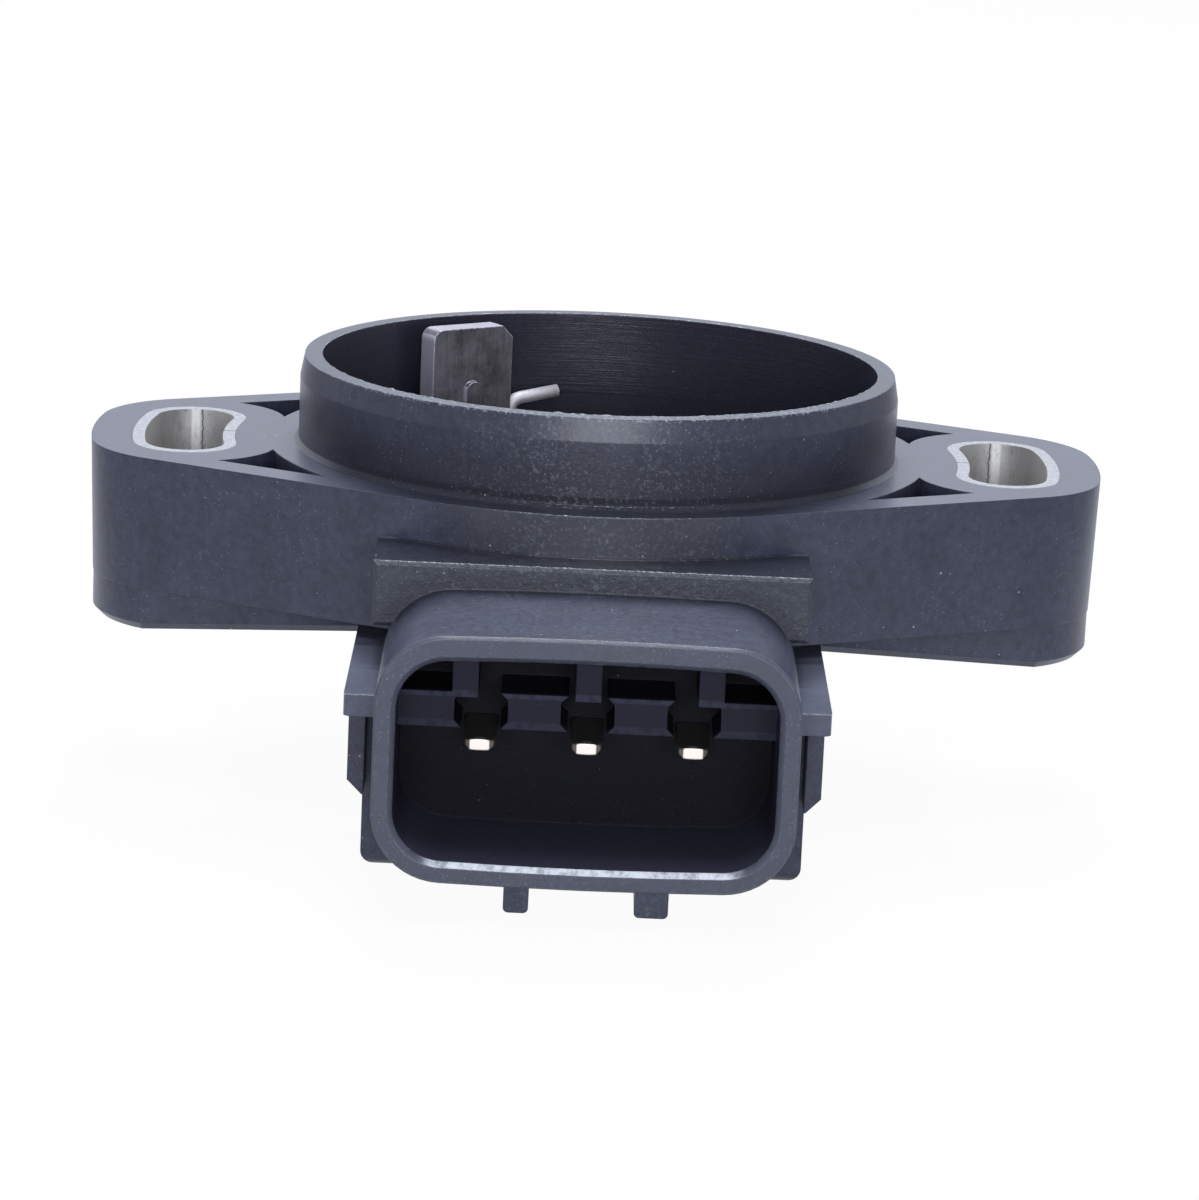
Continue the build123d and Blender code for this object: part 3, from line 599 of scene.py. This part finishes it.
def flash_plastic(graph, colours, sizes):
    """Thin plastic squeezed out between the halves of the mould, pale where it is thinnest, also used for
    painted highlight lines.
    """
    spot, *_ = graph.place()
    thin = graph.noise(spot, 0.25 * MM, 3.0)
    tone = graph.blend(thin.step(0.3, 0.7), scaled(colours.rubbed_edge_and_highlight, 0.5), colours.lip)
    graph.surface(Base_Color=tone, Roughness=0.35 + 0.2 * thin)


def plain_plastic(shade):
    """Builder of an even plastic of a colour, with a fine grain."""
    def build(graph, colours, sizes):
        spot, *_ = graph.place()
        grain = graph.noise(spot, sizes.grain, 3.0)
        soft, _ = graph.rounded(0.08 * MM)
        tint = getattr(colours, shade)
        tone = graph.blend(graph.noise(spot, 2.0 * MM), tint, scaled(tint, 1.5))
        graph.surface(Base_Color=tone, Roughness=0.38 + 0.2 * grain,
                      Normal=graph.bump(grain, 0.008 * MM, soft))
    return build


def rolled_steel(graph, colours, sizes):
    """Rolled bush steel: mottled cut ends, and walls with streaks, flaky marks, a bright line and a crack."""
    spot, x, _, z = graph.place()
    low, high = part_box("bush_right")
    soft, _ = graph.rounded(0.06 * MM)
    streaks = graph.noise(graph.stretched(spot, 1.0, 1.0, 0.08), 0.14 * MM, 3.0)
    flakes = graph.noise(graph.stretched(spot, 1.0, 1.0, 0.45), 0.34 * MM, 5.0, 0.7)
    end = z.ramp(-0.02, -0.004, high[2]).most(z.ramp(0.02, 0.004, low[2]))
    wander = graph.noise(graph.stretched(spot, 0.0, 0.0, 1.0), 0.5 * MM, 4.0, 0.7) - 0.5
    inward = (low[0] + high[0]) / 2 - abs(x)
    away = abs(inward)
    forming = away.ramp(0.34, 0.2) * flakes.step(0.25, 0.5) * (1.0 - end)
    crack = abs(inward - 0.42 * MM + wander * 0.4 * MM).ramp(0.07, 0.02) * (1.0 - end)
    marks = flakes.step(0.5, 0.7) * away.ramp(2.2, 0.4)
    tone = graph.blend(marks * 0.55 + streaks * 0.25, colours.bush, colours.bush_stain)
    grit = graph.noise(spot, 0.1 * MM, 3.0, 0.7)
    tone = graph.blend(grit.step(0.55, 0.72) * 0.45, tone, scaled(colours.bush_stain, 0.4))
    tone = graph.blend(forming * 0.5, tone, colours.bush_line)
    tone = graph.blend(crack * 0.8, tone, colours.bush_crack)
    cut = graph.blend(flakes.step(0.35, 0.65), colours.bush_end, scaled(colours.bush_end, 1.35))
    tone = graph.blend(end, tone, cut)
    rough = 0.46 + 0.16 * streaks + 0.1 * flakes
    graph.surface(Base_Color=tone, Metallic=1.0, Roughness=rough,
                  Normal=graph.bump(streaks + flakes, 0.012 * MM, soft))


def dull_steel(graph, colours, sizes):
    """Stamped lever steel: dull mottled faces with upright streaks and bright shear-cut sides, with painted
    sheen on upward faces and painted highlights on edges.
    """
    spot, x, y, z = graph.place()
    across = sizes.lever_angle + np.pi / 2
    aside = abs(x * np.cos(across) + y * np.sin(across))
    sheared_and_sheen = abs(graph.facing((np.cos(across), np.sin(across), 0.0))).step(0.8, 0.95)
    # Painted sheen: upward faces get part of the pale edge colour.
    sheared_and_sheen = sheared_and_sheen.most(graph.facing(UP).step(0.8, 0.95) * 0.4) * z.ramp(-0.5, 0.5)
    soft, lean = graph.rounded(0.12 * MM)
    streaks = graph.noise(graph.stretched(spot, 1.0, 1.0, 0.1), 0.2 * MM, 3.0)
    cloud = graph.noise(spot, 1.4 * MM, 5.0, 0.7)
    dart = aside.ramp(0.1, -0.1, sizes.dart_width / 2) * z.ramp(0.05, -0.05, sizes.dart_top)
    # Painted edge highlights along the lever's edges, kept off round the dart.
    bright = lean.step(0.01, 0.1) * graph.noise(spot, 0.2 * MM, 3.0).step(0.3, 0.6)
    bright = bright * (1.0 - dart * z.ramp(-0.25, -0.5, sizes.dart_top))
    edges = aside.ramp(1.6, 3.0) * 0.45
    tone = graph.blend((0.3 * streaks + 0.7 * cloud).step(0.3, 0.7),
                       scaled(colours.lever, 0.5), scaled(colours.lever, 1.5))
    tone = graph.blend(edges, tone, scaled(colours.lever, 1.5))
    sheared_and_sheen = sheared_and_sheen * (0.8 + 0.2 * streaks)
    tone = graph.blend(bright.most(sheared_and_sheen), tone, colours.lever_edge_and_sheen)
    graph.surface(Base_Color=tone, Metallic=0.6, Roughness=0.4 + 0.2 * cloud,
                  Normal=graph.bump(streaks + cloud, 0.010 * MM, soft))


def drawn_wire(graph, colours, sizes):
    """Drawn spring wire, matt with faint dark marks, and painted shade on its underside."""
    spot, *_ = graph.place()
    marks = graph.noise(spot, 0.3 * MM, 4.0, 0.6)
    # Painted shade: the wire is darker on its underside.
    under = graph.facing(UP).step(0.3, -0.5) * 0.6
    tone = graph.blend(marks.step(0.5, 0.8) * 0.5, colours.spring, scaled(colours.spring, 0.6))
    tone = graph.blend(under, tone, scaled(colours.spring, 0.5))
    graph.surface(Base_Color=tone, Metallic=0.3, Roughness=0.45 + 0.15 * marks)


def scratched(graph, spot):
    """Fine scratches along the x axis."""
    return graph.noise(graph.stretched(spot, 0.15, 1.0, 1.0), 0.12 * MM, 3.0)


def tinned_pin(graph, colours, sizes):
    """Tin plate, bright at the tip of the pin and darkened behind it by painted shade."""
    spot, x, y, z = graph.place()
    _, start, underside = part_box("terminal_signal")[0]
    scratches = scratched(graph, spot)
    soft, _ = graph.rounded(0.12 * MM)
    aside = abs(x).least(abs(abs(x) - sizes.pin_pitch)) / (0.53 * sizes.pin_width)
    raised = (z - underside - sizes.pin_thickness / 2) / (0.56 * sizes.pin_thickness)
    # Painted shade: behind its tip the pin is darkened to a tenth of its tin colour.
    tip = y.ramp(0.6, 0.35, start) * (aside * aside + raised * raised).step(1.0, 0.6)
    tone = graph.blend(tip, scaled(colours.terminal, 0.1), colours.terminal)
    graph.surface(Base_Color=tone, Metallic=0.7, Roughness=0.3 + 0.15 * scratches, Normal=soft)


def bright_metal(shade, rough):
    """Builder of a plain metal of a colour and a roughness, with fine scratches."""
    def build(graph, colours, sizes):
        spot, *_ = graph.place()
        scratches = scratched(graph, spot)
        soft, _ = graph.rounded(0.05 * MM)
        tint = getattr(colours, shade)
        tone = graph.blend(scratches, tint, scaled(tint, 0.7))
        graph.surface(Base_Color=tone, Metallic=1.0, Roughness=rough + 0.12 * scratches,
                      Normal=graph.bump(scratches, 0.004 * MM, soft))
    return build


def printed_board(graph, colours, sizes):
    """Green laminate with black carbon tracks, which stand above the board's upper face."""
    spot, _, _, z = graph.place()
    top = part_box("track_board")[1][2]
    ink = z.ramp(-0.03, -0.02, top)
    weave = graph.noise(spot, 0.3 * MM, 2.0)
    tone = graph.blend(weave, colours.board, scaled(colours.board, 1.4))
    graph.surface(Base_Color=graph.blend(ink, tone, colours.track), Roughness=0.42 + 0.15 * weave)


def seal_rubber(graph, colours, sizes):
    """Matt black rubber."""
    spot, *_ = graph.place()
    grain = graph.noise(spot, 0.2 * MM, 3.0)
    graph.surface(Base_Color=graph.blend(grain, colours.rubber, scaled(colours.rubber, 1.6)),
                  Roughness=0.7 + 0.15 * grain)


def new_piece(name, points, faces, material, smooth=True):
    """Mesh object at the origin from an array of points and a list of faces."""
    mesh = bpy.data.meshes.new(name)
    mesh.from_pydata(points.tolist(), [], faces, shade_flat=not smooth)
    mesh.materials.append(material)
    piece = bpy.data.objects.new(name, mesh)
    bpy.context.scene.collection.objects.link(piece)
    return piece


def grid_faces(rows, columns):
    """Quads of a grid of points in row order, whose columns run round."""
    row, column = np.meshgrid(np.arange(rows - 1) * columns, np.arange(columns), indexing="ij")
    after = (column + 1) % columns
    corners = (row + column, row + after, row + columns + after, row + columns + column)
    return np.stack(corners, axis=-1).reshape(-1, 4).tolist()


def unit(vectors):
    """Vectors of length one."""
    return vectors / np.linalg.norm(vectors, axis=-1, keepdims=True)


def tube(path, side, radius, sides):
    """Points and faces of a round wire along a path.

    At each path point the section is a circle, radius times (cos a * side + sin a * binormal), where
    side is made square to the path's direction and the binormal is square to both. The ends are flat.
    """
    along = unit(np.gradient(path, axis=0))
    side = unit(side - along * np.sum(side * along, axis=1, keepdims=True))
    binormal = np.cross(along, side)
    angle = np.linspace(0, 2 * np.pi, sides, endpoint=False)
    circle = np.cos(angle)[None, :, None] * side[:, None] + np.sin(angle)[None, :, None] * binormal[:, None]
    points = (path[:, None] + radius * circle).reshape(-1, 3)
    last = len(path) * sides
    ends = [list(range(sides))[::-1], list(range(last - sides, last))]
    return points, grid_faces(len(path), sides) + ends


def bend(start, along, towards, radius, steps, turned=np.pi / 2):
    """Bend of an angle turned: start + radius * (sin a * along + (1 - cos a) * towards), a from 0 to it."""
    angle = np.linspace(0, turned, steps)[:, None]
    return start + radius * (np.sin(angle) * along + (1 - np.cos(angle)) * towards)


def ripple(count, waves, seed):
    """Uneven heights from 0 to 1 along a line: the size of a sum of sines of random phase and wave number."""
    draw = np.random.default_rng(seed)
    place = np.linspace(0, 2 * np.pi, count, endpoint=False)[:, None]
    wave = draw.integers(1, waves, 24)
    height = np.abs(np.sin(wave * place + draw.uniform(0, 2 * np.pi, 24)).sum(axis=1))
    return height / height.max()


def flash_strip(path, out, height, base):
    """Points and faces of a thin wedge along a path.

    Its foot lies just under the edge and is as wide as the wedge is high, but no wider than the base. Its
    tip stands out from the path by the height along the out direction. Both are given at each path point.
    """
    along = unit(np.gradient(path, axis=0))
    width = base * np.clip(height / base, 0.05, 1.0)[:, None]
    across = unit(np.cross(along, out)) * width / 2
    foot = path - out * width / 4
    points = np.stack((foot - across, foot + across, path + out * height[:, None]), axis=1)
    return points.reshape(-1, 3), grid_faces(len(path), 3)


def joined(parts):
    """One array of points and one list of faces from several."""
    faces = []
    start = 0
    for points, given in parts:
        faces += [[corner + start for corner in face] for face in given]
        start += len(points)
    return np.concatenate([points for points, _ in parts]), faces


def level_line(x, y, z):
    """Points along x at one y and one z."""
    return np.stack((x, np.full_like(x, y), np.full_like(x, z)), axis=1)


def level_arc(radius, angle, z):
    """Points on an arc about the rotor's axis at one height."""
    return np.stack((radius * np.cos(angle), radius * np.sin(angle), np.full_like(angle, z)), axis=1)


class SENSOR_OT_housing(bpy.types.Operator):
    """Finish the moulded housing and its rear cover"""

    bl_idname = "sensor.housing"
    bl_label = "Housing"

    def execute(self, context):
        dress("housing_plastic", moulded_plastic, "housing")
        dress("cover_plastic", plain_plastic("cover"), "rear_cover")
        dress("seal_rubber", seal_rubber, "cover_seal")
        return {"FINISHED"}


class SENSOR_OT_flash(bpy.types.Operator):
    """Add the fine flash along the mould's parting edges, and painted highlight lines along the front of the
    flange and the collar's foot
    """

    bl_idname = "sensor.flash"
    bl_label = "Moulding flash"

    def execute(self, context):
        sizes = settings().sizes
        # Partly flash, partly painted highlight lines: the strips along the flange's front and the collar's
        # foot stand for highlights.
        strips = [self.collar(sizes), self.ledge(sizes), self.flange(sizes), self.foot(sizes),
                  self.wing(sizes, -1), self.wing(sizes, 1)]
        flash = new_piece("moulding_flash", *joined(strips), finish("flash_plastic", flash_plastic))
        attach(flash, "housing")
        return {"FINISHED"}

    def collar(self, sizes):
        """Round the inner edge of the collar's rim, standing up from it."""
        path = level_arc(sizes.collar_bore, np.linspace(0, 2 * np.pi, 721), rim)
        return self.strip(path, UP, waves=160, seed=3, share=0.45)

    def ledge(self, sizes):
        """Along the upper front edge of the ledge, standing forward and up."""
        x = np.linspace(-0.5, 0.5, 260) * sizes.ledge_width
        path = level_line(x, -sizes.ledge_reach, -sizes.ledge_drop)
        return self.strip(path, FORWARD_UP, waves=70, seed=5, share=1.0)

    def flange(self, sizes):
        """Along the middle of the flange's front edge, as a painted highlight line."""
        return self.arc(sizes.flange_radius, 0.0, (-116, -66), seed=8, share=0.7)

    def foot(self, sizes):
        """Along the front of the collar's foot, as a painted highlight line."""
        fillet = 0.2 * MM
        return self.arc(sizes.collar_radius + fillet, fillet, (-110, -66), seed=21, share=0.35)

    def arc(self, radius, level, reach, seed, share):
        """Along an arc about the rotor's axis between two angles in degrees, highest at its middle."""
        path = level_arc(radius, np.radians(np.linspace(*reach, 200)), level)
        return self.strip(path, FORWARD_UP, 80, seed, share, fade=2.0, gap=0.15)

    def wing(self, sizes, side):
        """Along the upper front edge of one wing."""
        x = side * np.linspace(0.435, 0.5, 40) * sizes.wing_width
        path = level_line(x, -sizes.wing_reach, -sizes.wing_drop)
        return self.strip(path, FORWARD_UP, waves=16, seed=11 + side, share=1.0)

    def strip(self, path, out, waves, seed, share, fade=0.25, gap=0.0):
        """Flash of uneven height along a path, dying out at its ends unless it closes on itself.

        Heights below the gap, a share of the largest, are left out, so that the flash breaks up.
        """
        highest = settings().sizes.flash
        height = share * highest * np.maximum(ripple(len(path), waves, seed) - gap, 0) / (1 - gap)
        if np.linalg.norm(path[0] - path[-1]) > highest:
            height *= np.sin(np.linspace(0, np.pi, len(path))) ** fade
        else:
            height[-1] = height[0]
        return flash_strip(path, np.tile(out, (len(path), 1)), height, 0.06 * MM)


class SENSOR_OT_spring(bpy.types.Operator):
    """Bend the return spring from one round wire"""

    bl_idname = "sensor.spring"
    bl_label = "Return spring"

    def execute(self, context):
        sizes = settings().sizes
        low, high = (Vector(corner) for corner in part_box("return_spring"))
        radius = (high.x - low.x) / 2 - sizes.wire_radius
        level = low.z + sizes.wire_radius
        path, side = self.path(sizes, radius, level, high)
        wire = tube(path, side, sizes.wire_radius, 16)
        spring = new_piece("spring_wire", *wire, finish("spring_steel", drawn_wire))
        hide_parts("return_spring")
        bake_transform(spring)
        return {"FINISHED"}

    def path(self, sizes, radius, level, high):
        """Middle line of the wire and a side direction at each point.

        The coil is a helix that falls by its pitch per turn as the angle grows. A quarter bend leads from
        the fixed leg, which points straight out, into its lower end. At its upper end one bend leads up into
        the riser and another over into the rising tail, both in the upright plane that touches the coil
        there. The riser ends where the tail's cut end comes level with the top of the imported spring.
        """
        angle = sizes.coil_end + np.linspace(2 * np.pi * sizes.coil_turns, 0, 300)
        out = np.stack((np.cos(angle), np.sin(angle), np.zeros_like(angle)), axis=1)
        rise = np.linspace(0, sizes.coil_turns * sizes.coil_pitch, len(angle))
        coil = radius * out + np.stack((0 * rise, 0 * rise, level + rise), axis=1)
        up = np.array(UP)
        start, end = unit(coil[1] - coil[0]), unit(coil[-1] - coil[-2])
        leg_end = sizes.collar_bore + 1.2 * MM
        lower = bend(coil[0], -start, out[0], sizes.wire_bend, 9)[:0:-1]
        leg = lower[0] + out[0] * (leg_end - radius - sizes.wire_bend)
        upper = bend(coil[-1], end, up, sizes.wire_bend, 9)[1:]
        level_end = end * (1, 1, 0) / np.hypot(end[0], end[1])
        run, lift = np.cos(sizes.tail_rise), np.sin(sizes.tail_rise)
        straight = (sizes.tail_length - sizes.tail_bend * (1 - lift)) / run
        head = high.z - (sizes.wire_radius + sizes.tail_bend) * run - straight * lift
        riser_end = upper[-1] * (1, 1, 0) + up * head
        over = bend(riser_end, up, level_end, sizes.tail_bend, 13, np.pi / 2 - sizes.tail_rise)
        tail = over[-1] + straight * (run * level_end + lift * up)
        path = np.concatenate((leg[None], lower, coil, upper, over, tail[None]))
        low_side = np.tile(np.cross(start, up), (1 + len(lower), 1))
        high_side = np.tile(-out[-1], (len(upper) + len(over) + 1, 1))
        return path, np.concatenate((low_side, -out, high_side))


class SENSOR_OT_bushes(bpy.types.Operator):
    """Finish the rolled steel bushes of the screw slots"""

    bl_idname = "sensor.bushes"
    bl_label = "Slot bushes"

    def execute(self, context):
        dress("bush_steel", rolled_steel, "bush_left", "bush_right")
        return {"FINISHED"}


class SENSOR_OT_terminals(bpy.types.Operator):
    """Finish the flat pins of the socket"""

    bl_idname = "sensor.terminals"
    bl_label = "Terminals"

    def execute(self, context):
        dress("terminal_tin", tinned_pin, "terminal_supply", "terminal_signal", "terminal_ground")
        return {"FINISHED"}


class SENSOR_OT_rotor(bpy.types.Operator):
    """Finish the drum, the drive lever and the pivot"""

    bl_idname = "sensor.rotor"
    bl_label = "Rotor"

    def execute(self, context):
        dress("rotor_plastic", plain_plastic("rotor"), "rotor_drum", "wiper_carrier")
        dress("lever_steel", dull_steel, "drive_lever")
        dress("shaft_steel", bright_metal("shaft", 0.6), "pivot_shaft", "shaft_clip", "thrust_washer")
        dress("bearing_bronze", bright_metal("bronze", 0.35), "bearing_bush")
        return {"FINISHED"}


class SENSOR_OT_track(bpy.types.Operator):
    """Finish the track board, the wiper and the leaf contacts"""

    bl_idname = "sensor.track"
    bl_label = "Track and wiper"

    def execute(self, context):
        dress("track_print", printed_board, "track_board")
        dress("contact_brass", bright_metal("brass", 0.25), "wiper",
              "board_contact_supply", "board_contact_signal", "board_contact_ground")
        return {"FINISHED"}


class SENSOR_OT_stage(bpy.types.Operator):
    """Set the camera, the floor and the light"""

    bl_idname = "sensor.stage"
    bl_label = "Stage"

    def execute(self, context):
        stage = settings().stage
        self.camera(context.scene, stage)
        self.floor(stage)
        self.light(context.scene, stage)
        return {"FINISHED"}

    def camera(self, scene, stage):
        """Camera whose axes are the rows of roll * elevation * yaw, set so that the origin lies at aim."""
        rise = stage.elevation
        base = Matrix(((1, 0, 0), (0, -np.sin(rise), -np.cos(rise)), (0, np.cos(rise), -np.sin(rise))))
        rows = Matrix.Rotation(stage.roll, 3, "Z") @ base @ Matrix.Rotation(stage.yaw, 3, "Z")
        data = bpy.data.cameras.new("view")
        data.lens = stage.focal_length
        data.sensor_fit = "HORIZONTAL"
        data.sensor_width = 36.0
        data.clip_start = 0.01
        camera = bpy.data.objects.new("view", data)
        axes = (Matrix.Diagonal((1, -1, -1)) @ rows).transposed()
        camera.matrix_world = Matrix.Translation(rows.transposed() @ -Vector(stage.aim)) @ axes.to_4x4()
        scene.collection.objects.link(camera)
        scene.camera = camera

    def floor(self, stage):
        """Large square floor below the sensor, white to the camera apart from the sensor's soft shadow."""
        reach = 6.0
        points = reach * np.array(((-1, -1, 0), (1, -1, 0), (1, 1, 0), (-1, 1, 0)))
        points[:, 2] = cad_box[0][2] - 0.05 * MM
        material = bpy.data.materials.new("floor")
        graph = Graph(material)
        camera, mirrored = graph.rays()
        beside = abs(graph.place().x).ramp(70, 125)
        paint = graph.node("BsdfDiffuse", inputs={"Color": rgba(settings().colours.floor)})
        tint = graph.blend(camera, graph.blend(beside, stage.cool, stage.dim), WHITE)
        glow = graph.node("Emission", inputs={"Color": tint, "Strength": stage.glow})
        graph.show(graph.mixed(camera.most(mirrored) * 0.9, paint, glow))
        new_piece("floor", points, [[0, 1, 2, 3]], material, smooth=False)

    def light(self, scene, stage):
        """Even light all round, white to the camera, and three lamps: behind, above and beside the camera."""
        world = bpy.data.worlds.new("studio")
        scene.world = world
        graph = Graph(world)
        camera, mirrored = graph.rays()
        tint = graph.blend(camera, stage.cool, WHITE)
        strength = stage.sky + camera.most(mirrored) * (1.0 - stage.sky)
        back = graph.node("Background", inputs={"Color": tint, "Strength": strength})
        graph.node("OutputWorld", inputs={"Surface": back})
        self.lamp(scene, "key", stage.key, turned=180, rise=60, wide=0.25, high=0.25)
        self.lamp(scene, "fill", stage.fill, turned=0, rise=77, wide=0.15, high=0.15)
        self.lamp(scene, "spark", stage.spark, turned=2, rise=10, wide=0.28, high=0.08)
        scene.view_settings.view_transform = "Standard"

    def lamp(self, scene, name, power, turned, rise, wide, high):
        """Lamp of a width and height that faces the sensor, turned from the front and raised by degrees."""
        stage = settings().stage
        data = bpy.data.lights.new(name, "AREA")
        data.shape = "RECTANGLE"
        data.size = wide
        data.size_y = high
        data.energy = power
        data.color = stage.cool
        holder = bpy.data.objects.new(name, data)
        turned, rise = np.radians(turned), np.radians(rise)
        place = Vector((np.cos(rise) * np.sin(turned), -np.cos(rise) * np.cos(turned), np.sin(rise)))
        holder.location = stage.lamp_distance * place
        holder.rotation_euler = place.to_track_quat("Z", "Y").to_euler()
        scene.collection.objects.link(holder)


class SENSOR_PT_sidebar(bpy.types.Panel):
    """Settings of the sensor and one button for each group of pieces"""

    bl_idname = "SENSOR_PT_sidebar"
    bl_label = "Throttle Position Sensor"
    bl_space_type = "VIEW_3D"
    bl_region_type = "UI"
    bl_category = "Sensor"

    def draw(self, context):
        for operator in operators:
            self.layout.operator(operator.bl_idname)
        for group in ("colours", "sizes", "stage"):
            values = getattr(context.scene.throttle_sensor, group)
            box = self.layout.box()
            for key in values.bl_rna.properties.keys():
                if key not in ("rna_type", "name"):
                    box.prop(values, key)


operators = (SENSOR_OT_housing, SENSOR_OT_flash, SENSOR_OT_bushes, SENSOR_OT_terminals, SENSOR_OT_rotor,
             SENSOR_OT_spring, SENSOR_OT_track, SENSOR_OT_stage)
classes = (SensorColours, SensorSizes, SensorStage, SensorSettings, *operators, SENSOR_PT_sidebar)


def register():
    for each in classes:
        bpy.utils.register_class(each)
    bpy.types.Scene.throttle_sensor = PointerProperty(type=SensorSettings)


def unregister():
    del bpy.types.Scene.throttle_sensor
    for each in reversed(classes):
        bpy.utils.unregister_class(each)


def main():
    """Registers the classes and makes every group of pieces."""
    register()
    bpy.ops.sensor.housing()
    bpy.ops.sensor.flash()
    bpy.ops.sensor.bushes()
    bpy.ops.sensor.terminals()
    bpy.ops.sensor.rotor()
    bpy.ops.sensor.spring()
    bpy.ops.sensor.track()
    bpy.ops.sensor.stage()


if __name__ == "__main__":
    main()
